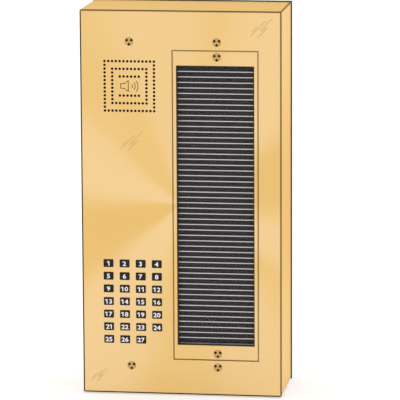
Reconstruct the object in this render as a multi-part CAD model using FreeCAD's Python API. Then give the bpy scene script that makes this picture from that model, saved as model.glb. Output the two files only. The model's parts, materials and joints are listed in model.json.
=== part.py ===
import FreeCAD, Part
import math
import os

# Surface-mounted door intercom panel: brass box, brass front panel, loudspeaker behind a
# grille of drilled holes, 27 numbered call keys and a lift-off directory cover.
# Frame: origin on the wall face at the middle of the back, +Z up, -Y out of the wall.
# Depths are measured in millimetres from the front face of the panel into the box.
V = FreeCAD.Vector

# ---- driving dimensions, mm ----
WIDTH = 232.0
HEIGHT = 448.0
DEPTH = 102.0
PLATE = 3.2               # front panel and directory frame, 1/8 inch brass
SEAL = 1.0                # rubber strip between panel and box
BOX_FRONT = PLATE + SEAL
SHEET = 2.0               # box sheet
LIP = 12.0                # return flange round the mouth of the box
BOX_CORNER = 1.5
EDGE_ROUND = 0.6
SEAM = 0.5                # line where two walls of the box meet

PANEL_SCREWS = [(x, z) for z in (188.0, -191.0) for x in (-59.0, 42.0)]
PANEL_SCREW_END = 16.0
SCREW_HEAD_R = 4.95
SCREW_SHANK_R = 2.4
SCREW_HOLE_R = 2.7
COUNTERSINK = 2.5
HEAD_CROWN = 0.42
PIN_HOLE_R = 1.4          # three holes for the security driver
PIN_CIRCLE_R = 3.25
PIN_HOLE_DEEP = 0.95

GRILLE = (-59.0, 136.6)   # also the loudspeaker's axis
HOLE_PITCH = 4.4
HOLE_R = 1.5
GRILLE_ROWS = 14
GROOVE = (0.8, 0.3)       # width and depth of the engraved sign

KEY_COLUMNS = 4
KEY_COUNT = 27
KEY_PITCH_X = 18.85
KEY_PITCH_Z = 14.95
KEY_FIRST = (-85.3, -70.5)
KEY_W, KEY_H = 11.2, 8.8
KEY_GAP = 0.2
KEY_PROUD = 1.6
KEY_FLANGE_W, KEY_FLANGE_H = 14.2, 11.8
KEY_FLANGE = (PLATE + 0.1, PLATE + 1.3)
KEY_STEM_R = 2.5
KEY_STEM_END = 14.5
KEY_TRAVEL = 1.5
SPRING_R = 3.4
SPRING_WIRE_R = 0.25
SPRING_TURNS = 4
SPRING_STEPS = 8          # wire sections in a turn

BOARD_MID = (-57.2, -115.4)   # key carrier and switch board
BOARD_W, BOARD_H = 80.0, 118.0
BOARD_STUDS = (36.0, 55.0)
CARRIER = (10.0, 13.0)        # front and back depth of the key carrier
CIRCUIT = (21.0, 22.6)        # front and back depth of the switch board
SWITCH_SIDE = 6.2
SWITCH_FRONT = 17.5
PLUNGER_R = 1.75
PLUNGER_FRONT = KEY_STEM_END + KEY_TRAVEL + 0.05

TERMINAL_PITCH = 5.08
TERMINAL_POLES = 10
TERMINAL_COLUMNS = (-84.0, -57.2, -30.4)
TERMINAL_W = 8.2
TERMINAL_BACK = 32.6
TERMINAL_SCREW = (1.55, 3.2)  # radius and length

SPEAKER_SQUARE = 77.0         # 3 inch loudspeaker
SPEAKER_STUD_OFFSET = 31.0
SCREEN = (PLATE, PLATE + 0.3)
SPEAKER_FLANGE = (5.5, 6.7)
SPEAKER_OPEN_R = 34.5
BASKET_R = 36.2
BASKET_BACK_R = 25.2
BASKET_BACK = (22.0, 23.2)
BASKET_WALL = 1.2
BASKET_WINDOWS = 6
ROLL_R = 29.0                 # middle of the surround's half roll
CONE_R = 26.8
CONE_EDGE = 7.3               # depth of the cone's rim
CONE_NECK = 17.0
PAPER = 0.6
FORMER_R = 8.6
FORMER_END = 27.6
MAGNET = (23.2, 26.2, 34.2, 37.2)   # front plate, ring magnet and back plate, front to back
PLATE_R = 22.0
MAGNET_R = 24.0
POLE_R = 7.6
TAG_DROP = 28.4               # from the speaker's axis down to its tag board
TAG_PITCH = 7.0
TAG_BOARD = (12.0, 7.0, 1.2)
TAG_END = 28.4
LEAD_R = 0.7
PLUG = (12.0, 8.0, 5.4)       # width, height and thickness of the speaker plug

DIRECTORY = (40.0, -2.0)
FRAME_W, FRAME_H = 98.0, 360.0
FRAME_GAP = 0.6
WINDOW_W, WINDOW_H = 90.0, 326.4
SIGHT_MARGIN = 1.3            # black gasket seen inside the frame
STRIP_COUNT = 51
STRIP_PITCH = 6.35
RAIL_W = 0.9
RAIL_NECK = 0.5
DIRECTORY_SCREWS = [(42.0, 171.0), (42.0, -175.0)]
DIRECTORY_SCREW_END = 9.5
GLAZING = (4.0, 6.0)          # front and back depth of the clear window
GLAZING_W, GLAZING_H = 94.0, 332.0
RAIL_FRONT = 6.5
STRIP = (7.05, 7.85)          # front and back depth of a name strip
BOARD_FRONT = 7.9
BOARD_BACK = 10.9
TRAY_SHEET = 1.6
TRAY_W, TRAY_H = GLAZING_W + 1.0, GLAZING_H + 1.0
LEDGE_X = (-16.4, 96.4)
LEDGE_Z = (-186.5, 183.0)
TRAY_STUDS = [(x, z) for x in (-13.0, 93.0) for z in (-152.0, -52.0, 48.0, 148.0)]

STUD_R = 1.5
STUD_CLEAR_R = 1.7
NUT_AF = 5.5
NUT_T = 2.4
NEAR = 0.05               # gap between pieces that only rest on each other
SPACER_R = 3.0
BUSH_R = 3.2              # clinch nuts: neck pressed into the sheet, body behind it
BUSH_BODY_R = 4.2
BUSH_BORE_R = 2.5
BUSH_DEEP = 4.0

CABLE_HOLE = (0.0, -90.0)
CABLE_HOLE_R = 11.0
CABLE_BORE_R = 8.0
BUSHING_R = 14.0
BUSHING_RIM = 3.0
KNOCKOUTS = (-55.0, 55.0)
KNOCKOUT_DEPTH = 60.0
KNOCKOUT_R = 11.0
KNOCKOUT_CUT = 0.4        # width of the part-punched ring
KNOCKOUT_DEEP = 0.8
WALL_HOLES = (75.0, 160.0)
WALL_HOLE_R = 3.5
RAIL_H = 12.0             # bars behind the lip that take the panel screws
GROUND = (70.0, -120.0)
GROUND_R = 2.5
GROUND_AF = 8.0
GROUND_LONG = 16.0
GROUND_NUT = 4.0


# ---- small helpers ----
def y_at(depth):
    return depth - DEPTH


def block(x0, x1, d0, d1, z0, z1):
    return Part.makeBox(x1 - x0, d1 - d0, z1 - z0, V(x0, y_at(d0), z0))


def slab(middle, w, h, d0, d1, corner=0.0, front_round=0.0):
    """A rectangular plate facing the front, with rounded corners and a rounded front edge."""
    cx, cz = middle
    s = block(cx - w / 2, cx + w / 2, d0, d1, cz - h / 2, cz + h / 2)
    if corner:
        s = s.makeFillet(corner, [e for e in s.Edges if e.BoundBox.YLength > 0.01])
    if front_round:
        flat = [e for e in s.Edges if e.BoundBox.YLength < 0.01 and e.BoundBox.YMax < y_at(d0) + 0.01]
        s = s.makeFillet(front_round, flat)
    return s


def rod(middle, r, d0, d1):
    return Part.makeCylinder(r, d1 - d0, V(middle[0], y_at(d0), middle[1]), V(0, 1, 0))


def taper(middle, r0, r1, d0, d1):
    return Part.makeCone(r0, r1, d1 - d0, V(middle[0], y_at(d0), middle[1]), V(0, 1, 0))


def tube(middle, r_out, r_in, d0, d1):
    return rod(middle, r_out, d0, d1).cut(rod(middle, r_in, d0, d1))


def prism(points, step):
    """A closed outline of vectors pushed along a step."""
    return Part.Face(Part.makePolygon(points + points[:1])).extrude(step)


def turned(middle, profile):
    """A closed profile of (radius, depth) points turned about an axis along the depth."""
    cx, cz = middle
    points = [V(cx + r, y_at(d), cz) for r, d in profile]
    face = Part.Face(Part.makePolygon(points + points[:1]))
    return face.revolve(V(cx, 0, cz), V(0, 1, 0), 360)


def spun(shape, angle, x, z):
    """A shape made round the Y axis, turned about it and moved to its place."""
    shape.rotate(V(0, 0, 0), V(0, 1, 0), angle)
    shape.translate(V(x, 0, z))
    return shape


def hex_nut(middle, across_flats, r_in, d0, d1):
    r = across_flats / math.sqrt(3)
    turns = [math.radians(60 * i) for i in range(6)]
    points = [V(middle[0] + r * math.cos(a), y_at(d0), middle[1] + r * math.sin(a)) for a in turns]
    return prism(points, V(0, d1 - d0, 0)).cut(rod(middle, r_in, d0, d1))


def corners(middle, dx, dz):
    """The four corners of a pattern round a middle."""
    return [(middle[0] + sx * dx, middle[1] + sz * dz) for sz in (1, -1) for sx in (-1, 1)]


def fuse(shapes):
    return shapes[0].fuse(shapes[1:]).removeSplitter()


def save(name, *shapes):
    """Writes one node, a single solid or a group of separate ones."""
    shape = shapes[0] if len(shapes) == 1 else Part.makeCompound(list(shapes))
    assert shape.isValid() and shape.Solids, name
    shape.exportStep("parts/" + name + ".step")
    print(f"{name:20s} {len(shape.Solids):3d} solids {shape.Volume / 1000:9.2f} cm3")


# ---- patterns that several parts share ----
SPEAKER_STUDS = corners(GRILLE, SPEAKER_STUD_OFFSET, SPEAKER_STUD_OFFSET)
BOARD_STUD_PLACES = corners(BOARD_MID, *BOARD_STUDS)


def key_places():
    x, z = KEY_FIRST
    cells = [(i % KEY_COLUMNS, i // KEY_COLUMNS) for i in range(KEY_COUNT)]
    return [(x + column * KEY_PITCH_X, z - row * KEY_PITCH_Z) for column, row in cells]


def grille_places():
    """Two square rings of holes and, inside them, a row above and a row below the sign."""
    last = GRILLE_ROWS - 1

    def drilled(i, j):
        ring = min(i, j, last - i, last - j)
        return ring in (0, 2) or (ring == 4 and j in (4, last - 4))

    x, z = (middle - last / 2 * HOLE_PITCH for middle in GRILLE)
    cells = [(i, j) for j in range(GRILLE_ROWS) for i in range(GRILLE_ROWS) if drilled(i, j)]
    return [(x + i * HOLE_PITCH, z + j * HOLE_PITCH) for i, j in cells]


def countersunk_hole(middle):
    hole = rod(middle, SCREW_HOLE_R, 0, PLATE)
    return hole.fuse(taper(middle, SCREW_HEAD_R + 0.15, SCREW_HOLE_R, 0, COUNTERSINK))


def security_screw(middle, end):
    """Oval countersunk screw with three blind holes in its head."""
    d, r = COUNTERSINK - 0.1, SCREW_HEAD_R
    dome = [(0, -HEAD_CROWN), (0.55 * r, -0.75 * HEAD_CROWN), (0.85 * r, -0.25 * HEAD_CROWN)]
    head = turned(middle, [(0, d)] + dome + [(r, 0.12), (SCREW_SHANK_R, d)])
    drills = []
    for turn in (30, 150, 270):
        a = math.radians(turn)
        spot = (middle[0] + PIN_CIRCLE_R * math.cos(a), middle[1] + PIN_CIRCLE_R * math.sin(a))
        drills.append(rod(spot, PIN_HOLE_R, -2 * HEAD_CROWN, PIN_HOLE_DEEP))
    return head.fuse(rod(middle, SCREW_SHANK_R, d, end)).cut(drills)


def clinch_nut(middle, d0, d1):
    """A threaded bush whose neck fills a hole in the sheet from d0 to d1."""
    seat, end = d1 + NEAR, d1 + BUSH_DEEP
    body = rod(middle, BUSH_R - NEAR, d0, seat).fuse(rod(middle, BUSH_BODY_R, seat, end))
    return body.cut(rod(middle, BUSH_BORE_R, d0, end))


# ---- box on the wall ----
def corner_seams():
    cuts = []
    for x, z in corners((0, 0), WIDTH / 2, HEIGHT / 2):
        bar = Part.makeBox(SEAM, DEPTH - BOX_FRONT, 1.3 * SHEET, V(-SEAM / 2, y_at(BOX_FRONT), -0.65 * SHEET))
        cuts.append(spun(bar, 45 if x * z > 0 else -45, x, z))
    return cuts


def knockout_rings():
    rings = []
    for x in KNOCKOUTS:
        foot = V(x, y_at(KNOCKOUT_DEPTH), -HEIGHT / 2)
        disc = Part.makeCylinder(KNOCKOUT_R + KNOCKOUT_CUT, KNOCKOUT_DEEP, foot)
        rings.append(disc.cut(Part.makeCylinder(KNOCKOUT_R, KNOCKOUT_DEEP, foot)))
    return rings


def surface_box():
    inside = DEPTH - SHEET
    shell = slab((0, 0), WIDTH, HEIGHT, BOX_FRONT, DEPTH, corner=BOX_CORNER)
    hollow = slab((0, 0), WIDTH - 2 * SHEET, HEIGHT - 2 * SHEET, BOX_FRONT + SHEET, inside)
    mouth = slab((0, 0), WIDTH - 2 * LIP, HEIGHT - 2 * LIP, BOX_FRONT, BOX_FRONT + SHEET, corner=2.0)
    drills = [rod(p, WALL_HOLE_R, inside, DEPTH) for p in corners((0, 0), *WALL_HOLES)]
    drills.append(rod(CABLE_HOLE, CABLE_HOLE_R, inside, DEPTH))
    return shell.cut([hollow, mouth] + drills + corner_seams() + knockout_rings())


def perimeter_seal():
    outer = slab((0, 0), WIDTH - 3, HEIGHT - 3, PLATE, BOX_FRONT, corner=2.0)
    return outer.cut(slab((0, 0), WIDTH - 2 * LIP + 2, HEIGHT - 2 * LIP + 2, PLATE, BOX_FRONT))


def mounting_rails():
    """Two bars behind the lip of the box, with the clinch nuts that take the panel screws."""
    d0 = BOX_FRONT + SHEET
    d1 = d0 + SHEET
    holes = [rod(p, BUSH_R, d0, d1) for p in PANEL_SCREWS]
    heights = sorted({z for _, z in PANEL_SCREWS})
    bars = [slab((0, z), WIDTH - 2 * SHEET, RAIL_H, d0, d1).cut(holes) for z in heights]
    return bars + [clinch_nut(p, d0, d1) for p in PANEL_SCREWS]


def cable_bushing():
    inside = DEPTH - SHEET
    rim = inside - BUSHING_RIM
    profile = [(CABLE_BORE_R, rim), (0.9 * BUSHING_R, rim), (BUSHING_R, rim + 1.4), (BUSHING_R, inside)]
    profile += [(CABLE_HOLE_R, inside), (CABLE_HOLE_R, DEPTH), (CABLE_BORE_R, DEPTH)]
    return turned(CABLE_HOLE, profile)


def ground_stud():
    """Stud on the back wall with a nut, a washer and a second nut on it."""
    wall = DEPTH - SHEET
    first, bore = wall - GROUND_NUT, GROUND_R + NEAR
    second = first - 1.0
    return [
        rod(GROUND, GROUND_R, wall - GROUND_LONG, wall),
        hex_nut(GROUND, GROUND_AF, bore, first, wall),
        tube(GROUND, 2 * GROUND_R, bore, second + NEAR, first - NEAR),
        hex_nut(GROUND, GROUND_AF, bore, second - GROUND_NUT, second),
    ]


# ---- front panel ----
def sign_strokes():
    """A plain loudspeaker sign with three sound waves, in strokes of one width."""
    wide, deep = GROOVE
    cx, cz = GRILLE
    outline = [(-10, -2.6), (-6, -2.6), (-1.2, -6.2), (-1.2, 6.2), (-6, 2.6), (-10, 2.6)]
    strokes = []
    for (x0, z0), (x1, z1) in zip(outline, outline[1:] + outline[:1]):
        bar = Part.makeBox(math.hypot(x1 - x0, z1 - z0) + wide, deep, wide, V(-wide / 2, y_at(0), -wide / 2))
        strokes.append(spun(bar, -math.degrees(math.atan2(z1 - z0, x1 - x0)), cx + x0, cz + z0))
    reach, rise = 20.0, 15.6
    tips = [(0, 0), (reach, -rise), (reach, rise)]
    sector = prism([V(cx + x, y_at(0), cz + z) for x, z in tips], V(0, deep, 0))
    for radius in (3.6, 6.8, 10.0):
        strokes.append(tube(GRILLE, radius + wide / 2, radius - wide / 2, 0, deep).common(sector))
    return strokes


def front_panel():
    plate = slab((0, 0), WIDTH, HEIGHT, 0, PLATE, corner=BOX_CORNER, front_round=EDGE_ROUND)
    opening = slab(DIRECTORY, FRAME_W + 2 * FRAME_GAP, FRAME_H + 2 * FRAME_GAP, 0, PLATE, corner=1.2)
    holes = [rod(p, HOLE_R, 0, PLATE) for p in grille_places()]
    sinks = [countersunk_hole(p) for p in PANEL_SCREWS]
    w, h = KEY_W + 2 * KEY_GAP, KEY_H + 2 * KEY_GAP
    slots = [slab(p, w, h, 0, PLATE, corner=0.8) for p in key_places()]
    return plate.cut([opening] + holes + sinks + slots).cut(sign_strokes())


def panel_studs():
    ends = [(SPEAKER_STUDS, 11.0), (BOARD_STUD_PLACES, 27.0), (TRAY_STUDS, 9.0)]
    return [rod(p, STUD_R, PLATE, end) for places, end in ends for p in places]


def stud_nuts():
    seats = [(SPEAKER_STUDS, SPEAKER_FLANGE[1]), (BOARD_STUD_PLACES, CIRCUIT[1])]
    seats.append((TRAY_STUDS, PLATE + TRAY_SHEET))
    return [hex_nut(p, NUT_AF, STUD_R, d, d + NUT_T) for places, d in seats for p in places]


# ---- call keys and their switches ----
def key(middle):
    cap = slab(middle, KEY_W, KEY_H, -KEY_PROUD, KEY_FLANGE[0], corner=0.7, front_round=0.5)
    rim = slab(middle, KEY_FLANGE_W, KEY_FLANGE_H, *KEY_FLANGE)
    return fuse([cap, rim, rod(middle, KEY_STEM_R, KEY_FLANGE[1], KEY_STEM_END)])


def spring_coil(length):
    """A compression spring along the depth, of six-sided wire."""
    sections = []
    steps = SPRING_STEPS * SPRING_TURNS
    for i in range(steps + 1):
        a = 2 * math.pi * i / SPRING_STEPS
        outward = V(math.cos(a), 0, math.sin(a))
        along = V(-math.sin(a), length / (2 * math.pi * SPRING_R * SPRING_TURNS), math.cos(a)).normalize()
        across = along.cross(outward)
        middle = outward * SPRING_R + V(0, length * i / steps, 0)
        turns = [math.pi / 3 * k for k in range(6)]
        ring = [middle + (outward * math.cos(t) + across * math.sin(t)) * SPRING_WIRE_R for t in turns]
        sections.append(Part.makePolygon(ring + ring[:1]))
    return Part.makeLoft(sections, True, True)


def key_springs():
    start, end = KEY_FLANGE[1] + 0.3, CARRIER[0] - 0.3
    coil = spring_coil(end - start)
    return [coil.translated(V(x, y_at(start), z)) for x, z in key_places()]


def key_carrier():
    plate = slab(BOARD_MID, BOARD_W, BOARD_H, *CARRIER, corner=3.0)
    holes = [rod(p, KEY_STEM_R + 0.1, *CARRIER) for p in key_places()]
    return plate.cut(holes + [rod(p, STUD_CLEAR_R, *CARRIER) for p in BOARD_STUD_PLACES])


def spacers():
    gaps = [(PLATE, CARRIER[0]), (CARRIER[1], CIRCUIT[0])]
    return [tube(p, SPACER_R, STUD_CLEAR_R, d0, d1) for d0, d1 in gaps for p in BOARD_STUD_PLACES]


def switch_board():
    plate = slab(BOARD_MID, BOARD_W, BOARD_H, *CIRCUIT, corner=2.0)
    return plate.cut([rod(p, STUD_CLEAR_R, *CIRCUIT) for p in BOARD_STUD_PLACES])


def call_switch(middle):
    body = slab(middle, SWITCH_SIDE, SWITCH_SIDE, SWITCH_FRONT, CIRCUIT[0], corner=0.4)
    return body.fuse(rod(middle, PLUNGER_R, PLUNGER_FRONT, SWITCH_FRONT))


def terminal_places(x):
    first = BOARD_MID[1] + TERMINAL_PITCH * (TERMINAL_POLES - 1) / 2
    return [(x, first - i * TERMINAL_PITCH) for i in range(TERMINAL_POLES)]


def terminal_block(x):
    """One row of screw terminals, each with a wire mouth in its side and a screw well behind."""
    body = slab((x, BOARD_MID[1]), TERMINAL_W, TERMINAL_PITCH * TERMINAL_POLES, CIRCUIT[1], TERMINAL_BACK)
    well, side, mouth = TERMINAL_BACK - 4.0, x - TERMINAL_W / 2, 1.6
    wells = [rod(p, 1.7, well, TERMINAL_BACK) for p in terminal_places(x)]
    mouths = [block(side, x + 1.2, 24.2, 27.2, z - mouth, z + mouth) for _, z in terminal_places(x)]
    return body.cut(wells + mouths)


def terminal_screw(middle):
    r, long = TERMINAL_SCREW
    seat = TERMINAL_BACK - 4.0
    return rod(middle, r, seat, seat + long).cut(slab(middle, 2 * r, 0.6, seat + long - 0.9, seat + long))


# ---- loudspeaker ----
def speaker_square(d0, d1, hole_r):
    plate = slab(GRILLE, SPEAKER_SQUARE, SPEAKER_SQUARE, d0, d1, corner=4.0)
    return plate.cut([rod(p, STUD_CLEAR_R, d0, d1) for p in SPEAKER_STUDS] + [rod(GRILLE, hole_r, d0, d1)])


def speaker_screen():
    sheet = slab(GRILLE, SPEAKER_SQUARE, SPEAKER_SQUARE, *SCREEN)
    return sheet.cut([rod(p, STUD_CLEAR_R, *SCREEN) for p in SPEAKER_STUDS])


def speaker_frame():
    """Square flange, open basket with windows in its wall, and the seat for the magnet."""
    front, back = SPEAKER_FLANGE
    step, throat = BASKET_R - BASKET_WALL, FORMER_R + 0.8
    wall = [(step, back), (BASKET_R, back), (BASKET_R, back + 2.5), (BASKET_BACK_R, BASKET_BACK[0])]
    wall += [(BASKET_BACK_R, BASKET_BACK[1]), (throat, BASKET_BACK[1]), (throat, BASKET_BACK[0])]
    wall += [(BASKET_BACK_R - BASKET_WALL, BASKET_BACK[0]), (step - 1, back + 3.2), (step - 4, back + 2.2)]
    wall += [(step - 4, back + 1), (step, back + 1)]
    windows = []
    for i in range(BASKET_WINDOWS):
        cut = Part.makeBox(13, 8.6, 30, V(-6.5, y_at(11.6), 18))
        windows.append(spun(cut, 360 / BASKET_WINDOWS * (i + 0.5), *GRILLE))
    x, z = GRILLE[0], GRILLE[1] - TAG_DROP
    low = z - TAG_BOARD[1] / 2 - 0.7
    ear = block(x - TAG_PITCH, x + TAG_PITCH, *BASKET_BACK, low, low + 12.6)
    return fuse([speaker_square(front, back, step), turned(GRILLE, wall).cut(windows), ear])


def speaker_surround():
    """Rim glued to the basket and a half roll that carries the cone."""
    seat = SPEAKER_FLANGE[1] + 1
    outer, inner, thick, steps = ROLL_R - CONE_R, 1.7, 0.5, 10
    arc = [math.radians(180 * i / steps) for i in range(1, steps)]
    under = [(ROLL_R + inner * math.cos(a), seat - inner * math.sin(a)) for a in arc]
    over = [(ROLL_R - outer * math.cos(a), seat - thick - outer * math.sin(a)) for a in arc]
    rim = BASKET_R - 1.6
    profile = [(rim, seat - thick), (rim, seat), (ROLL_R + inner, seat)] + under + [(ROLL_R - inner, seat)]
    profile += [(ROLL_R - outer, seat)] + over + [(ROLL_R + outer, seat - thick)]
    return turned(GRILLE, profile)


def speaker_cone():
    """Paper cone with the former of its coil, and the domed dust cap glued on it."""
    bore = FORMER_R - 0.5
    paper = [(CONE_R, CONE_EDGE), (CONE_R, CONE_EDGE + PAPER), (FORMER_R, CONE_NECK + PAPER)]
    paper += [(FORMER_R, FORMER_END), (bore, FORMER_END), (bore, CONE_NECK), (FORMER_R, CONE_NECK - 0.1)]
    cap = [(0, 12.4), (4, 12.9), (7.4, 14.6), (9.6, 16.6), (9.1, 16.9), (7.1, 15.0), (3.9, 13.4), (0, 12.9)]
    return fuse([turned(GRILLE, paper), turned(GRILLE, cap)])


def voice_coil():
    return tube(GRILLE, FORMER_R + 0.4, FORMER_R, MAGNET[0] - 0.6, MAGNET[1] + 1.0)


def magnet_yoke():
    front = tube(GRILLE, PLATE_R, FORMER_R + 1.0, MAGNET[0], MAGNET[1])
    back = rod(GRILLE, PLATE_R, MAGNET[2], MAGNET[3])
    return [front, back.fuse(rod(GRILLE, POLE_R, MAGNET[0] + 0.2, MAGNET[2]))]


def magnet_ring():
    return tube(GRILLE, MAGNET_R, FORMER_R + 3, MAGNET[1], MAGNET[2])


def speaker_terminals():
    w, h, thick = TAG_BOARD
    cx, cz = GRILLE[0], GRILLE[1] - TAG_DROP
    back = BASKET_BACK[1] + thick
    tags = []
    for x in (cx - TAG_PITCH / 2, cx + TAG_PITCH / 2):
        tags.append(block(x - 1.1, x + 1.1, back + NEAR, TAG_END, cz - 0.3, cz + 0.3))
    return [slab((cx, cz), w, h, BASKET_BACK[1], back)] + tags


def lead(points, radius):
    """A wire along straight runs joined by tangent arcs, each as wide as its runs allow."""
    edges, radii = [], []
    here = points[0]
    for a, b, c in zip(points, points[1:], points[2:]):
        before, after = (a - b).normalize(), (c - b).normalize()
        half = (math.pi - before.getAngle(after)) / 2
        back = 0.45 * min((a - b).Length, (c - b).Length)
        radii.append(back / math.tan(half))
        start, end = b + before * back, b + after * back
        centre = b + (before + after).normalize() * (radii[-1] / math.cos(half))
        middle = centre + (b - centre).normalize() * radii[-1]
        edges += [Part.LineSegment(here, start).toShape(), Part.Arc(start, middle, end).toShape()]
        here = end
    path = Part.Wire(edges + [Part.LineSegment(here, points[-1]).toShape()])
    ring = Part.Wire(Part.makeCircle(radius, points[0], points[1] - points[0]))
    wire = path.makePipeShell([ring], True, False)
    fill = wire.Volume / (path.Length * math.pi * radius ** 2)
    print(f"lead {path.Length:.1f} mm, smallest bend radius {min(radii):.1f} mm, volume ratio {fill:.3f}")
    return wire


def speaker_leads():
    """Two wires from the speaker's tags down to the plug they are moulded into on the switch board."""
    w, h, thick = PLUG
    tag = GRILLE[1] - TAG_DROP - 0.3
    plug = BOARD_MID[1] + BOARD_H / 2 - 6
    seat = CIRCUIT[1] + thick / 2
    made = [slab((GRILLE[0], plug - h / 2), w, h, CIRCUIT[1], CIRCUIT[1] + thick, corner=0.5)]
    for side in (-1, 1):
        x = GRILLE[0] + side * TAG_PITCH / 2
        route = [(x, 26.6, tag), (x, 26.6, tag - 14), (x + side * 2.0, 28.0, tag - 38)]
        route += [(x + side * 0.4, 26.0, 42), (x - side * 1.2, 23.5, 14), (x + side * 0.8, 25.8, -14)]
        route += [(x, seat, plug + 18), (x, seat, plug - 1)]
        made.append(lead([V(px, y_at(d), z) for px, d, z in route], LEAD_R))
    return fuse(made)


# ---- directory ----
def directory_frame():
    plate = slab(DIRECTORY, FRAME_W, FRAME_H, 0, PLATE, corner=0.8, front_round=0.4)
    opening = slab(DIRECTORY, WINDOW_W, WINDOW_H, 0, PLATE, corner=0.5)
    return plate.cut([opening] + [countersunk_hole(p) for p in DIRECTORY_SCREWS])


def window_gasket():
    ring = slab(DIRECTORY, GLAZING_W, GLAZING_H, PLATE, GLAZING[0])
    sight = slab(DIRECTORY, WINDOW_W - 2 * SIGHT_MARGIN, WINDOW_H - 2 * SIGHT_MARGIN, PLATE, GLAZING[0])
    return ring.cut(sight)


def directory_window():
    return slab(DIRECTORY, GLAZING_W, GLAZING_H, *GLAZING)


def directory_tray():
    """Pan behind the opening, with the ledge that the frame lies on and its clinch nuts."""
    d = PLATE + TRAY_SHEET
    ledge = block(*LEDGE_X, PLATE, d, *LEDGE_Z)
    pan = slab(DIRECTORY, TRAY_W + 2 * TRAY_SHEET, TRAY_H + 2 * TRAY_SHEET, PLATE, BOARD_BACK + TRAY_SHEET)
    drills = [rod(p, STUD_CLEAR_R, PLATE, d) for p in TRAY_STUDS]
    drills += [rod(p, BUSH_R, PLATE, d) for p in DIRECTORY_SCREWS]
    tray = fuse([ledge, pan]).cut([slab(DIRECTORY, TRAY_W, TRAY_H, PLATE, BOARD_BACK)] + drills)
    return [tray] + [clinch_nut(p, PLATE, d) for p in DIRECTORY_SCREWS]


def strip_edges():
    """Heights where one name strip ends and the next begins, bottom to top."""
    low = DIRECTORY[1] - STRIP_COUNT * STRIP_PITCH / 2
    return [low + i * STRIP_PITCH for i in range(STRIP_COUNT + 1)]


def strip_board():
    """White backing board with a T-shaped rail between each two name strips."""
    low, high = DIRECTORY[1] - GLAZING_H / 2, DIRECTORY[1] + GLAZING_H / 2
    profile = [(BOARD_BACK, low), (BOARD_FRONT, low)]
    for z in strip_edges()[1:-1]:
        half = [(BOARD_FRONT, RAIL_NECK / 2), (STRIP[0] - 0.05, RAIL_NECK / 2)]
        half += [(STRIP[0] - 0.05, RAIL_W / 2), (RAIL_FRONT, RAIL_W / 2)]
        profile += [(d, z - up) for d, up in half] + [(d, z + up) for d, up in reversed(half)]
    profile += [(BOARD_FRONT, high), (BOARD_BACK, high)]
    left = DIRECTORY[0] - GLAZING_W / 2
    return prism([V(left, y_at(d), z) for d, z in profile], V(GLAZING_W, 0, 0))


def name_strips():
    w, h = GLAZING_W - 1.0, STRIP_PITCH - RAIL_NECK - 0.1
    middles = [(DIRECTORY[0], z + STRIP_PITCH / 2) for z in strip_edges()[:-1]]
    return [slab(p, w, h, *STRIP) for p in middles]


def main():
    os.makedirs("parts", exist_ok=True)
    save("surface_box", surface_box())
    save("perimeter_seal", perimeter_seal())
    save("mounting_rails", *mounting_rails())
    save("cable_bushing", cable_bushing())
    save("ground_stud", *ground_stud())
    save("front_panel", front_panel())
    save("panel_studs", *panel_studs())
    save("stud_nuts", *stud_nuts())
    save("panel_screws", *[security_screw(p, PANEL_SCREW_END) for p in PANEL_SCREWS])
    for number, place in enumerate(key_places(), 1):
        save(f"key_{number:02d}", key(place))
    save("key_springs", *key_springs())
    save("key_carrier", key_carrier())
    save("spacers", *spacers())
    save("switch_board", switch_board())
    save("call_switches", *[call_switch(p) for p in key_places()])
    save("terminal_blocks", *[terminal_block(x) for x in TERMINAL_COLUMNS])
    save("terminal_screws", *[terminal_screw(p) for x in TERMINAL_COLUMNS for p in terminal_places(x)])
    save("speaker_screen", speaker_screen())
    save("speaker_gasket", speaker_square(SCREEN[1], SPEAKER_FLANGE[0], SPEAKER_OPEN_R))
    save("speaker_frame", speaker_frame())
    save("speaker_surround", speaker_surround())
    save("speaker_cone", speaker_cone())
    save("voice_coil", voice_coil())
    save("magnet_yoke", *magnet_yoke())
    save("magnet_ring", magnet_ring())
    save("speaker_terminals", *speaker_terminals())
    save("speaker_leads", speaker_leads())
    save("directory_frame", directory_frame())
    save("window_gasket", window_gasket())
    save("directory_window", directory_window())
    save("directory_screws", *[security_screw(p, DIRECTORY_SCREW_END) for p in DIRECTORY_SCREWS])
    save("directory_tray", *directory_tray())
    save("strip_board", strip_board())
    save("name_strips", *name_strips())


main()
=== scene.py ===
import json
import math

import bmesh
import bpy
from mathutils import Matrix, Vector


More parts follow.
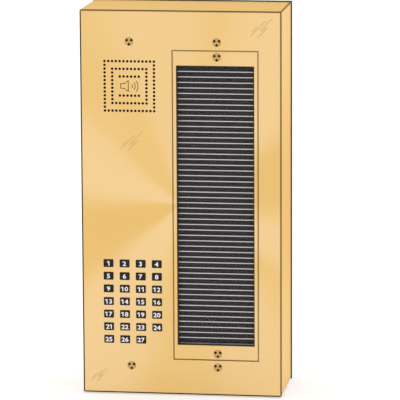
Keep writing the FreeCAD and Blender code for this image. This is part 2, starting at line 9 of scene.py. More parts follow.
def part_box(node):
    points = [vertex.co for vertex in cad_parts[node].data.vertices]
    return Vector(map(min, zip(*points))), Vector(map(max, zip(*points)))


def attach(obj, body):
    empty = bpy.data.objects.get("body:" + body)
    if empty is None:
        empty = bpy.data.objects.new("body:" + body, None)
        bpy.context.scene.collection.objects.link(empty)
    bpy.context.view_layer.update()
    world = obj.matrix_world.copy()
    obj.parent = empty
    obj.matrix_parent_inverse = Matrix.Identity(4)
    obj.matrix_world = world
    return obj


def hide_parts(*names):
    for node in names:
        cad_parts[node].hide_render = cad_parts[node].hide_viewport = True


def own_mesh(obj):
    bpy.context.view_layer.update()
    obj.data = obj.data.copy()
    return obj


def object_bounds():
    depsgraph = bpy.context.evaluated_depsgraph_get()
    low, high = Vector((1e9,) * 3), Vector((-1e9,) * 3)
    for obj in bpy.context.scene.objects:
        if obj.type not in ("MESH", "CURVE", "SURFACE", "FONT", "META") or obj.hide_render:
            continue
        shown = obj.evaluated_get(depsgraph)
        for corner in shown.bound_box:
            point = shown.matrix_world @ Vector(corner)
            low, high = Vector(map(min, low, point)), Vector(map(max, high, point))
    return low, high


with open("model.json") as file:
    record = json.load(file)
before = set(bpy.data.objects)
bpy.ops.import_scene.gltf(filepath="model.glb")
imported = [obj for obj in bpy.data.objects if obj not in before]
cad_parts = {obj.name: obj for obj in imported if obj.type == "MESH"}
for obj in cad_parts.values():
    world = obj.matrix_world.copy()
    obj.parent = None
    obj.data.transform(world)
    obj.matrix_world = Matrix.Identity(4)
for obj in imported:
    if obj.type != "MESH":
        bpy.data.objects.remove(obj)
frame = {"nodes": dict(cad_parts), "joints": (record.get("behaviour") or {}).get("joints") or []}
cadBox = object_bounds()
mm = 0.001
toFront = Matrix.Rotation(math.pi / 2, 4, "X")  # turns what faces up to the front
toBack = Matrix.Rotation(-math.pi / 2, 4, "X")  # and to the back
print("frame loaded with", len(frame["nodes"]), "parts")

plateLow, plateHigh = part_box("front_panel")
coverLow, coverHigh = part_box("directory_frame")
boxLow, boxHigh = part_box("surface_box")
frontY = plateLow.y
coverMiddle = (coverLow + coverHigh) / 2
coverHalf = (coverHigh - coverLow) / 2
plateMiddle = (plateLow + plateHigh) / 2
plateHalf = (plateHigh - plateLow) / 2
keyNodes = sorted(name for name in frame["nodes"] if name.startswith("key_") and name[4:].isdigit())

viewing = {"azimuth": 8.04, "elevation": 10.16, "roll": -0.284, "distance": 3.674, "lens": 288.0,
           "aimRight": 22.02 * mm, "aimUp": 5.79 * mm}  # degrees and metres, aimed at a point on the front


def makeCamera():
    data = bpy.data.cameras.new("camera")
    data.lens = viewing["lens"]
    data.sensor_width = 36.0
    data.clip_end = 50.0
    camera = bpy.data.objects.new("camera", data)
    bpy.context.scene.collection.objects.link(camera)
    azimuth = math.radians(viewing["azimuth"])
    elevation = math.radians(viewing["elevation"])
    away = Vector((math.sin(azimuth) * math.cos(elevation), -math.cos(azimuth) * math.cos(elevation),
                   math.sin(elevation)))
    aim = Vector((viewing["aimRight"], frontY, viewing["aimUp"]))
    aimed = away.to_track_quat("Z", "Y").to_matrix().to_4x4()
    roll = Matrix.Rotation(math.radians(viewing["roll"]), 4, "Z")
    camera.matrix_world = Matrix.Translation(aim + away * viewing["distance"]) @ aimed @ roll
    bpy.context.scene.camera = camera


def addMesh(name, shape):
    mesh = bpy.data.meshes.new(name)
    shape.to_mesh(mesh)
    shape.free()
    piece = bpy.data.objects.new(name, mesh)
    bpy.context.scene.collection.objects.link(piece)
    return piece


def paint(piece, finish):
    piece.data.materials.clear()
    piece.data.materials.append(finish.material)


def smoothByAngle(shape, degrees=32):
    limit = math.radians(degrees)
    for face in shape.faces:
        face.smooth = True
    for edge in shape.edges:
        edge.smooth = len(edge.link_faces) == 2 and edge.calc_face_angle() < limit


def tidyShape(shape):  # doubles merged, faces outwards, sharp edges kept sharp
    bmesh.ops.remove_doubles(shape, verts=shape.verts, dist=1e-7)
    bmesh.ops.recalc_face_normals(shape, faces=shape.faces)
    smoothByAngle(shape)


def addOutline(shape, points, closed=False):  # points in the plane of x and y
    verts = [shape.verts.new((x, y, 0)) for x, y in points]
    edges = [shape.edges.new(pair) for pair in zip(verts, verts[1:])]
    if closed:
        edges.append(shape.edges.new((verts[-1], verts[0])))
    return verts + edges


def turn(shape, profile, steps=48):  # a profile of radius and depth, turned about the depth axis
    outline = addOutline(shape, profile)
    bmesh.ops.spin(shape, geom=outline, cent=(0, 0, 0), axis=(0, 1, 0), angle=math.tau, steps=steps,
                   use_merge=True)


def wind(shape, section, turns, pitch, steps=20):  # a closed section wound into a coil, its two ends closed
    outline = addOutline(shape, section, closed=True)
    count = round(turns * steps)
    bmesh.ops.spin(shape, geom=outline, cent=(0, 0, 0), axis=(0, 1, 0), dvec=(0, pitch / steps, 0),
                   angle=math.tau * turns, steps=count)
    bmesh.ops.holes_fill(shape, edges=[edge for edge in shape.edges if edge.is_boundary])


def moved(shape, place):  # a copy of a shape, moved to its place
    copy = shape.copy()
    bmesh.ops.translate(copy, vec=place, verts=copy.verts)
    return copy


def finishPiece(name, shape, finish, body, replaced=()):
    piece = addMesh(name, shape)
    paint(piece, finishes[finish])
    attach(piece, body)
    if replaced:
        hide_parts(*replaced)
    return piece


class Signal:  # a shader socket that can be used in sums
    def __init__(self, finish, socket):
        self.finish = finish
        self.socket = socket

    def math(self, operation, *others):
        return self.finish.node("ShaderNodeMath", {"operation": operation}, dict(enumerate((self, *others))))

    def __add__(self, other):
        return self.math("ADD", other)

    def __sub__(self, other):
        return self.math("SUBTRACT", other)

    def __rsub__(self, other):
        return self.finish.node("ShaderNodeMath", {"operation": "SUBTRACT"}, {0: other, 1: self})

    def __mul__(self, other):
        return self.math("MULTIPLY", other)

    def __truediv__(self, other):
        return self.math("DIVIDE", other)

    def __abs__(self):
        return self.math("ABSOLUTE")

    def __gt__(self, other):
        return self.math("GREATER_THAN", other)

    def __lt__(self, other):
        return self.math("LESS_THAN", other)

    def least(self, other):
        return self.math("MINIMUM", other)

    def most(self, other):
        return self.math("MAXIMUM", other)

    def root(self):
        return self.math("SQRT")

    def sine(self):
        return self.math("SINE")

    def ramp(self, low, high):  # 0 at low, 1 at high, eased
        inputs = {0: self, 1: low, 2: high, 3: 0.0, 4: 1.0}
        return self.finish.node("ShaderNodeMapRange", {"interpolation_type": "SMOOTHSTEP"}, inputs)


class Finish:  # one material and the nodes that make it
    def __init__(self, name, color, roughness=0.5, metallic=0.0, **sockets):
        self.material = bpy.data.materials.new(name)
        self.material.use_nodes = True
        self.tree = self.material.node_tree
        self.shader = self.tree.nodes["Principled BSDF"]
        self.color = (*color, 1.0)
        self.put(self.shader, {"Base Color": self.color, "Roughness": roughness, "Metallic": metallic})
        self.put(self.shader, {socket.replace("_", " "): value for socket, value in sockets.items()})
        self.material.diffuse_color = self.color

    def put(self, node, inputs):
        for key, value in inputs.items():
            if isinstance(value, Signal):
                self.tree.links.new(value.socket, node.inputs[key])
            else:
                node.inputs[key].default_value = value

    def node(self, kind, settings, inputs, output=0):
        node = self.tree.nodes.new(kind)
        for key, value in settings.items():
            setattr(node, key, value)
        self.put(node, inputs)
        return Signal(self, node.outputs[output])

    def place(self):
        return self.node("ShaderNodeTexCoord", {}, {}, "Object")

    def split(self, vector):
        parts = self.node("ShaderNodeSeparateXYZ", {}, {0: vector})
        return [Signal(self, socket) for socket in parts.socket.node.outputs]

    def join(self, x, y, z):
        return self.node("ShaderNodeCombineXYZ", {}, {0: x, 1: y, 2: z})

    def noise(self, vector, scale, detail=2.0):
        return self.node("ShaderNodeTexNoise", {}, {"Vector": vector, "Scale": scale, "Detail": detail})

    def mix(self, factor, low, high):
        return self.node("ShaderNodeMix", {"data_type": "RGBA"}, {0: factor, 6: low, 7: high}, 2)

    def bump(self, height, distance):
        return self.node("ShaderNodeBump", {}, {"Height": height, "Distance": distance})

    def wear(self, color=None, roughness=None, normal=None):
        wanted = {"Base Color": color, "Roughness": roughness, "Normal": normal}
        self.put(self.shader, {key: value for key, value in wanted.items() if value is not None})
        return self


def tinted(color, factor):
    return (*(min(1.0, c * factor) for c in color[:3]), 1.0)


# the brass colours; the pale and dark tones here also serve for painted highlights and painted shade
brass = {"color": (0.815, 0.540, 0.203), "pale": (0.855, 0.598, 0.288), "paintedShade": (0.785, 0.505, 0.172),
         "paintedSideHighlight": (0.865, 0.625, 0.345), "grazing": (0.97, 0.80, 0.46), "roughness": 0.34,
         "brushPitch": 0.32 * mm, "brushDeep": 0.012 * mm,
         "line": (0.11, 0.058, 0.014), "edge": (0.030, 0.019, 0.009), "lineWide": 1.15 * mm,
         "paintFill": (0.045, 0.024, 0.008)}
# direction in degrees, half width in degrees and strength of each wedge of painted sheen round the middle
# a strength above 0 is a painted highlight, a strength below 0 is painted shade
sheenWedges = [(-121, 27, 1.0), (-61, 22, 0.7), (-17, 21, 0.9), (55, 26, 0.9), (96, 20, 0.6), (160, 27, 1.0),
           (-162, 28, -1.0), (14, 30, -1.0), (-92, 16, -0.2), (-42, 14, -0.2), (125, 16, -0.2)]
# middle and size of each group of painted glint marks, and each mark's place along, place across and length
markGroups = [((92.8 * mm, 205.0 * mm), 1.0), ((-58.0 * mm, 72.2 * mm), 1.0),
              ((-97.6 * mm, -203.3 * mm), 0.72)]
marks = [(-2.8 * mm, -2.1 * mm, 24.0 * mm), (6.9 * mm, 1.2 * mm, 20.0 * mm), (-2.1 * mm, 4.9 * mm, 15.5 * mm),
         (-6.0 * mm, -4.2 * mm, 9.0 * mm), (1.5 * mm, 3.0 * mm, 7.0 * mm)]
# half the width of a glint's dark hairline and of the painted highlight beside it, and how far apart they are
mark = {"dark": 0.22 * mm, "light": 0.25 * mm, "beside": 0.75 * mm}
signHalf = (11.6 * mm, 8.0 * mm)  # half the width and height of the engraved sign
grilleHalf = 31 * mm
grooveDeep = 0.4 * mm
skin = 0.06 * mm  # what lies this far behind the front plane is inside a hole or a groove


def brushedBrass(name, straight=None):
    finish = Finish(name, brass["color"], brass["roughness"], 1.0, Specular_Tint=(*brass["grazing"], 1))
    place = finish.place()
    x, y, z = finish.split(place)
    across = x - plateMiddle.x
    up = z - plateMiddle.z
    radius = (across * across + up * up + 1e-6).root()
    if straight is None:  # rings round the middle of the front
        streak = finish.join(radius / brass["brushPitch"], across / radius * 2.5, up / radius * 2.5)
    else:  # straight strokes along one axis
        lanes = [axis * ((0.02 if letter == straight else 1.0) / brass["brushPitch"])
                 for axis, letter in zip((x, y, z), "XYZ")]
        streak = finish.join(*lanes)
    fine = finish.noise(streak, 1.0, 2.0)
    cloud = finish.noise(place, 9.0, 3.0)
    color = finish.mix(fine.ramp(0.3, 0.7), tinted(brass["color"], 0.98), tinted(brass["color"], 1.015))
    color = finish.mix(cloud.ramp(0.38, 0.62) * 0.35, color, (*brass["pale"], 1))
    rough = fine * 0.10 + cloud * 0.06 + (brass["roughness"] - 0.08)
    bearing = (across / radius, up / radius)
    return finish, color, rough, finish.bump(fine, brass["brushDeep"]), (x, y, z), bearing


def rectangleEdge(x, z, middle, half):  # distance outside the outline, below 0 inside it
    return (abs(x - middle.x) - half.x).most(abs(z - middle.z) - half.z)


# painted highlight and painted shade in wedges round the middle of the front
def sunburst(finish, color, bearing):
    shine = 0.0
    for degrees, halfWide, strength in sheenWedges:
        angle = math.radians(degrees)
        toward = bearing[0] * math.cos(angle) + bearing[1] * math.sin(angle)
        shine = toward.ramp(math.cos(math.radians(halfWide)), 1.0) * strength + shine
    color = finish.mix(shine.most(0.0), color, (*brass["pale"], 1))
    return finish.mix((0.0 - shine).most(0.0), color, (*brass["paintedShade"], 1))


# painted glints: in each group, dark hairlines, each with a painted highlight beside it
def polishingMarks(x, z):
    dark, light = 0.0, 0.0
    for (middleX, middleZ), size in markGroups:
        along = (x - middleX + z - middleZ) * math.sqrt(0.5)
        across = (x - middleX - z + middleZ) * math.sqrt(0.5)
        for place, side, long in marks:
            inside = abs(along - place * size) < long * size / 2
            dark = inside * (abs(across - side * size) < mark["dark"]) + dark
            light = inside * (abs(across - side * size + mark["beside"]) < mark["light"]) + light
    return dark.least(1.0), light.least(1.0)


def frontBrass():
    finish, color, rough, normal, (x, y, z), bearing = brushedBrass("satinBrassFront")
    # painted highlight and painted shade in wedges round the middle of the front
    color = sunburst(finish, color, bearing)
    # painted glints on the front face: dark hairlines with painted highlights beside them
    dark, light = polishingMarks(x, z)
    facing = y < frontY + 0.02 * mm
    color = finish.mix(dark * facing * 0.7, color, (*brass["line"], 1))
    color = finish.mix(light * facing * 0.8, color, (*brass["pale"], 1))
    wide = brass["lineWide"]
    upper = (z > plateHigh.z - 1.2 * wide).most(x > plateHigh.x - 1.2 * wide)
    distance = rectangleEdge(x, z, plateMiddle, plateHalf) + (1 - upper) * 0.4 * wide
    outer = distance.ramp(-1.15 * wide, -0.75 * wide)
    # painted shade: a dark line along the seam round the directory frame
    seamShade = abs(rectangleEdge(x, z, coverMiddle, coverHalf) - 0.2 * wide)
    color = finish.mix((1 - seamShade.ramp(0.5 * wide, 0.9 * wide)) * facing * 0.85, color, (*brass["line"], 1))
    edge = finish.mix(upper, (*brass["edge"], 1), (*brass["line"], 1))
    color = finish.mix(outer, color, edge)
    grilleLow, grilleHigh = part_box("speaker_screen")
    sign = (grilleLow + grilleHigh) / 2
    inside = (y > frontY + skin) * (y < frontY + grooveDeep)
    inside = inside * (abs(x - sign.x) < signHalf[0]) * (abs(z - sign.z) < signHalf[1])
    color = finish.mix(inside, color, (*brass["paintFill"], 1))
    # painted shade: near black and not metal on the walls inside the grille's holes and grooves and the key
    # slots
    wall = (y > frontY + skin) * (y < plateHigh.y - 0.05 * mm)
    nearGrille = (abs(x - sign.x) < grilleHalf) * (abs(z - sign.z) < grilleHalf)
    firstLow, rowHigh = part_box(keyNodes[0])[0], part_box(keyNodes[3])[1]
    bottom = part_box(keyNodes[-1])[0].z
    nearKeys = (x > firstLow.x) * (x < rowHigh.x) * (z > bottom) * (z < rowHigh.z)
    wall = wall * nearGrille.most(nearKeys)
    color = finish.mix(wall * 0.95, color, (*brass["edge"], 1))
    finish.put(finish.shader, {"Metallic": 1 - inside.most(wall)})
    return finish.wear(color, rough.most(inside * 0.9), normal)


# heights from the middle of the box between which the painted shade and the painted highlight on the sides
# fade
boxShades = {"paintedShade": (25 * mm, 110 * mm), "paintedSideHighlight": (60 * mm, 190 * mm)}


def boxBrass():
    finish, color, rough, normal, (x, y, z), _ = brushedBrass("satinBrassBox", straight="Z")
    # painted shade across the middle height of the box, and a painted highlight towards the ends of its sides
    color = finish.mix((1 - abs(z).ramp(*boxShades["paintedShade"])) * 0.8, color, (*brass["paintedShade"], 1))
    side = abs(x - plateMiddle.x) > plateHalf.x - 0.2 * mm
    color = finish.mix(abs(z).ramp(*boxShades["paintedSideHighlight"]) * side * 0.9, color, (*brass["paintedSideHighlight"], 1))
    wide = brass["lineWide"]
    outside = rectangleEdge(x, z, plateMiddle, plateHalf) > -0.1 * wide
    # painted shade near the back, where the box meets the wall gasket; the four edges running front to back
    # are darkened too
    back = outside * y.ramp(boxHigh.y - 4.0 * wide, boxHigh.y - 2.0 * wide)
    seam = 1.3 * wide
    corner = abs(x - plateMiddle.x) > plateHalf.x - seam
    corner = corner * (abs(z - plateMiddle.z) > plateHalf.z - seam)
    color = finish.mix(back.most(corner) * 0.9, color, (*brass["edge"], 1))
    return finish.wear(color, rough, normal)


def machinedBrass(name, low, high):
    finish = Finish(name, brass["color"], 0.28, 1.0, Specular_Tint=(*brass["grazing"], 1))
    place = finish.place()
    grain = finish.noise(place, 900.0, 2.0)
    color = finish.mix(grain, tinted(brass["color"], low), tinted(brass["color"], high))
    return finish, place, color, grain * 0.15 + 0.22, finish.bump(grain, 0.01 * mm)


def turnedBrass():
    finish, _, color, rough, normal = machinedBrass("turnedBrass", 0.93, 1.02)
    return finish.wear(color, rough, normal)


def screwBrass():  # darker, with painted shade inside the driver holes: near black and not metal
    blackFrom, blackTo = frontY + 0.14 * mm, frontY + 1.1 * mm
    finish, place, color, rough, normal = machinedBrass("screwBrass", 0.62, 0.74)
    x, y, z = finish.split(place)
    deep = (y > blackFrom) * (y < blackTo)
    color = finish.mix(deep, color, (0.008, 0.005, 0.003, 1))
    finish.put(finish.shader, {"Metallic": 1 - deep})
    return finish.wear(color, rough.most(deep * 0.9), normal)


def grained(name, color, roughness=0.5, metallic=0.0, scale=900.0, deep=0.02 * mm, spread=0.12, **sockets):
    finish = Finish(name, color, roughness, metallic, **sockets)
    place = finish.place()
    grain = finish.noise(place, scale, 3.0)
    cloud = finish.noise(place, scale / 18, 2.0)
    mixed = finish.mix((grain + cloud) * 0.5, tinted(color, 1 - spread), tinted(color, 1 + spread))
    return finish.wear(mixed, grain * 0.16 + (roughness - 0.08), finish.bump(grain, deep))


def windowFinish():
    finish = grained("clearWindow", (0.05, 0.048, 0.05), 0.08, scale=60.0, deep=0.002 * mm, spread=0.05)
    finish.put(finish.shader, {"Alpha": 0.08, "IOR": 1.58})
    return finish


def clothFinish():
    finish = Finish("dustCloth", (0.02, 0.017, 0.015), 0.9)
    x, y, z = finish.split(finish.place())
    pitch = math.tau / (0.6 * mm)
    weave = (x * pitch).sine() * (z * pitch).sine()
    color = finish.mix(weave.ramp(-1, 1), (0.01, 0.009, 0.008, 1), (0.05, 0.045, 0.04, 1))
    return finish.wear(color, None, finish.bump(weave, 0.08 * mm))


def boardFinish():
    finish = Finish("circuitBoard", (0.02, 0.16, 0.06), 0.32)
    x, y, z = finish.split(finish.place())
    track = abs((x * math.tau / (3.8 * mm)).sine()) < 0.28
    lane = finish.noise(finish.join(x * 40, 0.0, z * 14), 1.0) > 0.48
    color = finish.mix(track * lane, (0.015, 0.14, 0.05, 1), (0.03, 0.26, 0.10, 1))
    return finish.wear(color, None, finish.bump(track * lane, 0.035 * mm))


def stripFinish():  # smooth black laminate
    finish = Finish("stripBlack", (0.017, 0.012, 0.014), 0.6, Specular_IOR_Level=0.2)
    cloud = finish.noise(finish.place(), 60.0, 2.0)
    color = finish.mix(cloud, (0.016, 0.011, 0.013, 1), (0.020, 0.015, 0.017, 1))
    return finish.wear(color, cloud * 0.1 + 0.55)


leadPaint = {"red": (0.5, 0.03, 0.02, 1), "black": (0.02, 0.02, 0.022, 1), "plug": (0.78, 0.76, 0.70, 1),
             "plugTall": 8.2 * mm}


def leadFinish():  # one red and one black wire, and their pale plug at the bottom
    finish = Finish("leadSleeve", leadPaint["red"][:3], 0.4)
    x, y, z = finish.split(finish.place())
    leadLow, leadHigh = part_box("speaker_leads")
    color = finish.mix(x < (leadLow.x + leadHigh.x) / 2, leadPaint["red"], leadPaint["black"])
    color = finish.mix(z < leadLow.z + leadPaint["plugTall"], color, leadPaint["plug"])
    grain = finish.noise(finish.place(), 700.0)
    return finish.wear(color, grain * 0.1 + 0.35, finish.bump(grain, 0.01 * mm))


finishes = {
    "front": frontBrass(),
    "box": boxBrass(),
    "turned": turnedBrass(),
    "screw": screwBrass(),
    "rubber": grained("blackRubber", (0.022, 0.021, 0.021), 0.75, scale=1400.0, deep=0.03 * mm),
    "zinc": grained("zincPlate", (0.66, 0.67, 0.68), 0.34, 1.0, scale=500.0, spread=0.06),
    "springSteel": grained("springSteel", (0.55, 0.56, 0.58), 0.3, 1.0, scale=1500.0),
    "key": grained("keyPlastic", (0.014, 0.009, 0.011), 0.55, scale=2600.0, deep=0.012 * mm,
                   Specular_IOR_Level=0.22),
    "print": grained("whitePrint", (0.93, 0.93, 0.91), 0.5, scale=1800.0, deep=0.004 * mm, spread=0.04),
    "carrier": grained("carrierPlastic", (0.05, 0.05, 0.055), 0.6, scale=1200.0),
    "board": boardFinish(),
    "switch": grained("switchBlack", (0.03, 0.03, 0.032), 0.4, scale=1500.0),
    "terminal": grained("terminalGreen", (0.03, 0.30, 0.12), 0.38, scale=1200.0),
    "cloth": clothFinish(),
    "basket": grained("basketPaint", (0.035, 0.035, 0.037), 0.42, scale=700.0, deep=0.03 * mm),
    "ferrite": grained("ferrite", (0.07, 0.07, 0.075), 0.6, scale=800.0, deep=0.05 * mm),
    "lead": leadFinish(),
    "whiteBoard": grained("whiteBoard", (0.90, 0.89, 0.88), 0.5, scale=400.0, spread=0.03),
    "strip": stripFinish(),
    "window": windowFinish(),
    "paper": grained("conePaper", (0.05, 0.045, 0.04), 0.85, scale=900.0, deep=0.06 * mm, spread=0.25),
    "copper": grained("copperWire", (0.80, 0.36, 0.18), 0.3, 1.0, scale=1600.0),
}
nodeFinishes = {
    "front_panel": "front", "directory_frame": "front", "surface_box": "box", "perimeter_seal": "rubber",
    "window_gasket": "rubber", "cable_bushing": "rubber", "speaker_gasket": "rubber",
    "speaker_surround": "rubber", "mounting_rails": "zinc", "panel_studs": "zinc", "stud_nuts": "zinc",
    "spacers": "zinc", "directory_tray": "zinc", "magnet_yoke": "zinc", "terminal_screws": "zinc",
    "key_springs": "springSteel", "panel_screws": "screw", "directory_screws": "screw",
    "ground_stud": "turned", "speaker_terminals": "turned", "key_carrier": "carrier",
    "switch_board": "board", "call_switches": "switch", "terminal_blocks": "terminal",
    "speaker_screen": "cloth", "speaker_frame": "basket", "magnet_ring": "ferrite", "speaker_leads": "lead",
    "strip_board": "whiteBoard", "name_strips": "strip", "directory_window": "window",
    "speaker_cone": "paper", "voice_coil": "copper",
}


def dressFrame():
    for name, finish in nodeFinishes.items():
        paint(frame["nodes"][name], finishes[finish])
    for name in keyNodes:
        paint(frame["nodes"][name], finishes["key"])
    print("finishes on", len(nodeFinishes) + len(keyNodes), "parts")


screw = {"headRadius": 4.95 * mm, "crown": 0.42 * mm, "rim": 0.12 * mm, "sink": 2.4 * mm,
         "shankRadius": 2.15 * mm, "threadRadius": 2.4 * mm, "pitch": 0.79 * mm,
         "holeRadius": 1.55 * mm, "holeCircle": 3.15 * mm, "holeDeep": 0.95 * mm,
         "drillOver": 1.0 * mm, "holeTurns": (30, 150, 270)}  # drillOver is what a drill stands out in front


def screwShape(end):  # one screw at the front plane, its axis through the origin
    head = bmesh.new()
    radius, crown, shank = screw["headRadius"], screw["crown"], screw["shankRadius"]
    dome = [(radius * math.sin(t), screw["rim"] - (crown + screw["rim"]) * math.cos(t))
            for t in (math.radians(9 * i) for i in range(11))]
    neck = [(radius - 0.05 * mm, screw["rim"] + 0.1 * mm), (screw["threadRadius"], screw["sink"])]
    tip = [(shank, screw["sink"] + 0.3 * mm), (shank, end - 0.7 * mm), (shank - 0.7 * mm, end), (0, end)]
    turn(head, dome + neck + tip)
    tidyShape(head)
    drills = bmesh.new()
    for degrees in screw["holeTurns"]:
        angle = math.radians(degrees)
        across, up = screw["holeCircle"] * math.cos(angle), screw["holeCircle"] * math.sin(angle)
        stand = Matrix.Translation((across, (screw["holeDeep"] - screw["drillOver"]) / 2, up)) @ toFront
        bmesh.ops.create_cone(drills, cap_ends=True, segments=24, radius1=screw["holeRadius"],
                              radius2=screw["holeRadius"], depth=screw["holeDeep"] + screw["drillOver"],
                              matrix=stand)
    solid, cutter = addMesh("screwHead", head), addMesh("screwDrills", drills)
    cut = solid.modifiers.new("drilled", "BOOLEAN")
    cut.object = cutter
    cut.solver = "EXACT"
    drilled = bpy.data.meshes.new_from_object(solid.evaluated_get(bpy.context.evaluated_depsgraph_get()))
    bpy.data.objects.remove(solid)
    bpy.data.objects.remove(cutter)
    made = bmesh.new()
    thread = screw["threadRadius"]
    root = shank - 0.05 * mm
    ridge = [(root, 0.0), (thread, 0.3 * mm), (thread, 0.38 * mm), (root, 0.68 * mm)]
    turns = (end - screw["sink"] - 2.0 * mm) / screw["pitch"]
    wind(made, ridge, turns, screw["pitch"])
    bmesh.ops.translate(made, vec=(0, screw["sink"] + 0.6 * mm, 0), verts=made.verts)
    made.from_mesh(drilled)
    tidyShape(made)
    return made


def makeScrews(node, body, places):
    shape = screwShape(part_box(node)[1].y - frontY)
    for number, (x, z) in enumerate(places, 1):
        name = node.replace("screws", "screw_") + str(number)
        finishPiece(name, moved(shape, (x, frontY, z)), "screw", body, [node])
    shape.free()


def screwPlaces(node):  # the corners of the group's box, in by a head's radius
    low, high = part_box(node)
    inset = screw["headRadius"]
    across = sorted({round(low.x + inset, 5), round(high.x - inset, 5)})
    return [(x, z) for z in (high.z - inset, low.z + inset) for x in across]


keyCap = {"wide": 11.2 * mm, "tall": 8.8 * mm, "corner": 0.8 * mm, "edge": 0.45 * mm, "dishInset": 0.7 * mm,
          "dishSlope": 1.0 * mm, "dishDeep": 0.14 * mm, "flange": 1.2 * mm, "flangeCorner": 0.6 * mm,
          "flangeRim": 0.15 * mm, "behindPlate": 0.1 * mm, "stemRadius": 2.5 * mm, "stemRounded": 0.4 * mm}


def growPlate(shape, middle, wide, tall, corner, levels):  # a rounded plate grown level by level: (inset, y)
    inset, y = levels[0]
    made = bmesh.ops.create_grid(shape, x_segments=1, y_segments=1, size=0.5)["verts"]
    bmesh.ops.scale(shape, vec=(wide - 2 * inset, tall - 2 * inset, 1), verts=made)
    rounded = bmesh.ops.bevel(shape, geom=made, offset=corner, segments=4, affect="VERTICES", profile=0.5,
                              material=-1)
    base = face = rounded["verts"][0].link_faces[0]
    stand = Matrix.Translation((middle.x, y, middle.z)) @ toFront
    bmesh.ops.transform(shape, matrix=stand, verts=face.verts)
    for nextInset, nextY in levels[1:]:
        grown = bmesh.ops.extrude_face_region(shape, geom=[face])["geom"]
        if face is not base:
            bmesh.ops.delete(shape, geom=[face], context="FACES_ONLY")
        face = next(item for item in grown if isinstance(item, bmesh.types.BMFace))
        shrink = ((wide - 2 * nextInset) / (wide - 2 * inset), 1, (tall - 2 * nextInset) / (tall - 2 * inset))
        around = Matrix.Translation((-middle.x, 0, -middle.z))
        bmesh.ops.scale(shape, vec=shrink, space=around, verts=face.verts)
        bmesh.ops.translate(shape, vec=(0, nextY - y, 0), verts=face.verts)
        inset, y = nextInset, nextY


def crownLevels(edge, front):  # a quarter round from the side of a cap to its face
    angles = [math.pi / 2 * i / 4 for i in range(5)]
    return [(edge * (1 - math.cos(a)), front + edge * (1 - math.sin(a))) for a in angles]


def makeKey(node):
    low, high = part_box(node)
    middle = (low + high) / 2
    flangeFront = plateHigh.y + keyCap["behindPlate"]
    flangeBack = flangeFront + keyCap["flange"]
    front, edge, dish = low.y, keyCap["edge"], keyCap["edge"] + keyCap["dishInset"]
    shape = bmesh.new()
    bowl = [(dish, front), (dish + keyCap["dishSlope"] * 0.5, front + keyCap["dishDeep"] * 0.7),
            (dish + keyCap["dishSlope"], front + keyCap["dishDeep"])]
    growPlate(shape, middle, keyCap["wide"], keyCap["tall"], keyCap["corner"],
              [(0, flangeFront + 0.05 * mm)] + crownLevels(edge, front) + bowl)
    rim = keyCap["flangeRim"]
    growPlate(shape, middle, high.x - low.x, high.z - low.z, keyCap["flangeCorner"],
              [(rim, flangeBack), (0, flangeBack - rim), (0, flangeFront + rim), (rim, flangeFront)])
    stem = Matrix.Translation((middle.x, (flangeBack + high.y) / 2, middle.z)) @ toBack
    radius = keyCap["stemRadius"]
    bmesh.ops.create_cone(shape, cap_ends=True, segments=32, radius1=radius, radius2=radius,
                          depth=high.y - flangeBack, matrix=stem)
    tip = [side for side in shape.edges if all(vert.co.y > high.y - 0.1 * mm for vert in side.verts)]
    bmesh.ops.bevel(shape, geom=tip, offset=keyCap["stemRounded"], segments=3, affect="EDGES", profile=0.5,
                    material=-1)
    bmesh.ops.recalc_face_normals(shape, faces=shape.faces)
    smoothByAngle(shape)
    finishPiece("call_" + node, shape, "key", node, [node])


spring = {"radius": 3.4 * mm, "wire": 0.25 * mm, "turns": 4.5, "sides": 8, "flangeGap": 0.02 * mm}


def makeSpring(node):
    keyLow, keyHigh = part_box(node)
    start = plateHigh.y + keyCap["behindPlate"] + keyCap["flange"] + spring["flangeGap"] + spring["wire"]
    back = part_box("key_carrier")[0].y
    end = back - spring["flangeGap"] - spring["wire"]
    shape = bmesh.new()
    angles = [math.tau * i / spring["sides"] for i in range(spring["sides"])]
    wire = spring["wire"]
    section = [(spring["radius"] + wire * math.cos(a), wire * math.sin(a)) for a in angles]
    wind(shape, section, spring["turns"], (end - start) / spring["turns"])
    middle = (keyLow + keyHigh) / 2
    bmesh.ops.translate(shape, vec=(middle.x, start, middle.z), verts=shape.verts)
    tidyShape(shape)
    piece = finishPiece("spring_" + node, shape, "springSteel", "front", ["key_springs"])
    travel = next(joint["range_m"][1] for joint in frame["joints"] if joint["name"] == node + "_press")
    long = back - (start - wire)
    kept = (long - travel - spring["flangeGap"]) / long
    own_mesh(piece)


solder = {"padRadius": 0.95 * mm, "tipRadius": 0.32 * mm, "tall": 0.75 * mm, "legX": 3.25 * mm,
          "legZ": 2.25 * mm, "blockHalf": 5.3 * mm, "columnInset": 4.1 * mm}


def makeSolder():  # one joint for each switch leg on the back of the board
    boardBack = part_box("switch_board")[1].y
    shape = bmesh.new()

    def joint(x, z):
        stand = Matrix.Translation((x, boardBack + solder["tall"] / 2, z)) @ toBack
        bmesh.ops.create_cone(shape, cap_ends=True, segments=8, radius1=solder["padRadius"],
                              radius2=solder["tipRadius"], depth=solder["tall"], matrix=stand)

    blockLow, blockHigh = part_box("terminal_blocks")
    for node in keyNodes:
        low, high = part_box(node)
        middle = (low + high) / 2
        for sx in (-1, 1):
            for sz in (-1, 1):
                x, z = middle.x + sx * solder["legX"], middle.z + sz * solder["legZ"]
                clear = all(abs(x - column) > solder["blockHalf"] for column in terminalColumns())
                if clear or not blockLow.z < z < blockHigh.z:
                    joint(x, z)
    joints = finishPiece("solder_joints", shape, "zinc", "front")
    for polygon in joints.data.polygons:
        polygon.use_smooth = True


def terminalColumns():  # the middles of the three columns of terminals
    low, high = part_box("terminal_blocks")
    return [low.x + solder["columnInset"], (low.x + high.x) / 2, high.x - solder["columnInset"]]


wallGasket = {"proud": 1.1 * mm, "thick": 2.6 * mm, "rounded": 0.4 * mm}


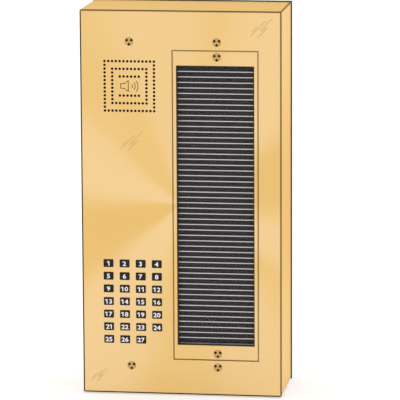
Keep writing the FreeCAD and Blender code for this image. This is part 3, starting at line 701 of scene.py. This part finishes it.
def makeWallGasket():  # a rubber strip round the back edge of the box
    back = boxHigh.y
    front = back - wallGasket["thick"]
    proud = Vector((wallGasket["proud"], 0, wallGasket["proud"]))
    shape = bmesh.new()
    loops = []
    for low, high in ((boxLow, boxHigh), (boxLow - proud, boxHigh + proud)):
        for y in (front, back):
            corners = [(low.x, low.z), (high.x, low.z), (high.x, high.z), (low.x, high.z)]
            loops.append([shape.verts.new((x, y, z)) for x, z in corners])
    inFront, inBack, outFront, outBack = loops
    for one, other in ((inFront, outFront), (outFront, outBack), (outBack, inBack), (inBack, inFront)):
        for i in range(4):
            shape.faces.new((one[i], one[i - 1], other[i - 1], other[i]))
    rim = [edge for edge in shape.edges if all(vert in outFront or vert in outBack for vert in edge.verts)]
    bmesh.ops.bevel(shape, geom=rim, offset=wallGasket["rounded"], segments=3, affect="EDGES", profile=0.5,
                    material=-1)
    tidyShape(shape)
    finishPiece("wall_gasket", shape, "rubber", "root")


numbers = {"height": 5.4 * mm, "wider": 1.18, "thick": 0.12 * mm, "fatten": 0.026, "sink": 0.17 * mm,
           "flagReach": 0.24, "flagDrop": 0.16, "flagThick": 0.20}


def addFlags(shape):  # the slanting stroke of each figure one, which the typeface draws as a plain bar
    seen = set()
    for start in shape.verts[:]:
        if start in seen:
            continue
        island, rim = set(), {start}
        while rim:
            island |= rim
            rim = {edge.other_vert(vert) for vert in rim for edge in vert.link_edges} - island
        seen |= island
        if len(island) == 4:
            x, top = min(vert.co.x for vert in island), max(vert.co.y for vert in island)
            tall = top - min(vert.co.y for vert in island)
            reach, drop, thick = (numbers[key] * tall for key in ("flagReach", "flagDrop", "flagThick"))
            corners = [(x, top), (x - reach, top - drop), (x - reach, top - drop - thick), (x, top - thick)]
            shape.faces.new([shape.verts.new((cornerX, cornerY, 0)) for cornerX, cornerY in corners])


def makeNumber(node):
    label = str(int(node[4:]))
    curve = bpy.data.curves.new("number", "FONT")
    curve.body = label
    curve.align_x = "CENTER"
    curve.align_y = "CENTER"
    curve.offset = numbers["fatten"]
    curve.resolution_u = 3
    writing = bpy.data.objects.new("writing", curve)
    bpy.context.scene.collection.objects.link(writing)
    bpy.context.view_layer.update()
    flat = bpy.data.meshes.new_from_object(writing.evaluated_get(bpy.context.evaluated_depsgraph_get()))
    bpy.data.objects.remove(writing)
    shape = bmesh.new()
    shape.from_mesh(flat)
    bmesh.ops.remove_doubles(shape, verts=shape.verts, dist=1e-4)
    addFlags(shape)
    bmesh.ops.recalc_face_normals(shape, faces=shape.faces)
    tall = max(v.co.y for v in shape.verts) - min(v.co.y for v in shape.verts)
    size = numbers["height"] / tall
    low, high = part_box(node)
    middle = (low + high) / 2
    middle.y = low.y + numbers["sink"]
    xs = [v.co.x for v in shape.verts]
    ys = [v.co.y for v in shape.verts]
    bmesh.ops.translate(shape, vec=(-(max(xs) + min(xs)) / 2, -(max(ys) + min(ys)) / 2, 0), verts=shape.verts)
    extruded = bmesh.ops.extrude_face_region(shape, geom=shape.faces[:])
    top = [vert for vert in extruded["geom"] if isinstance(vert, bmesh.types.BMVert)]
    bmesh.ops.translate(shape, vec=(0, 0, numbers["thick"] / size), verts=top)
    bmesh.ops.scale(shape, vec=(size * numbers["wider"], size, size), verts=shape.verts)
    stand = Matrix.Translation(middle) @ toFront
    bmesh.ops.transform(shape, matrix=stand, verts=shape.verts)
    bmesh.ops.recalc_face_normals(shape, faces=shape.faces)
    piece = addMesh("number_" + node[4:], shape)
    paint(piece, finishes["print"])
    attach(piece, node)


studio = {"floorRadius": 14.0, "floorColor": (0.62, 0.62, 0.62), "floorGlow": 0.46,
          "worldColor": (1.0, 1.0, 1.0, 1), "worldStrength": 1.0}


def makeFloor():
    shape = bmesh.new()
    bmesh.ops.create_circle(shape, cap_ends=True, segments=96, radius=studio["floorRadius"])
    bmesh.ops.translate(shape, vec=(0, 0, cadBox[0][2] - wallGasket["proud"] - 0.2 * mm), verts=shape.verts)
    floor = addMesh("floor", shape)
    finish = Finish("floorPaint", studio["floorColor"], 0.9)
    finish.put(finish.shader, {"Emission Color": (1, 1, 1, 1), "Emission Strength": studio["floorGlow"]})
    paint(floor, finish)


def makeWorld():
    world = bpy.data.worlds.new("studio")
    world.use_nodes = True
    background = world.node_tree.nodes["Background"]
    background.inputs["Color"].default_value = studio["worldColor"]
    background.inputs["Strength"].default_value = studio["worldStrength"]
    bpy.context.scene.world = world
    bpy.context.scene.view_settings.view_transform = "Standard"


makeCamera()
makeFloor()
makeWorld()
dressFrame()
for node in keyNodes:
    makeKey(node)
    makeSpring(node)
    makeNumber(node)
print("caps, springs and numbers for", len(keyNodes), "keys")
makeScrews("panel_screws", "front", screwPlaces("panel_screws"))
makeScrews("directory_screws", "cover", screwPlaces("directory_screws"))
makeSolder()
makeWallGasket()
print("screws, solder joints and wall gasket made")
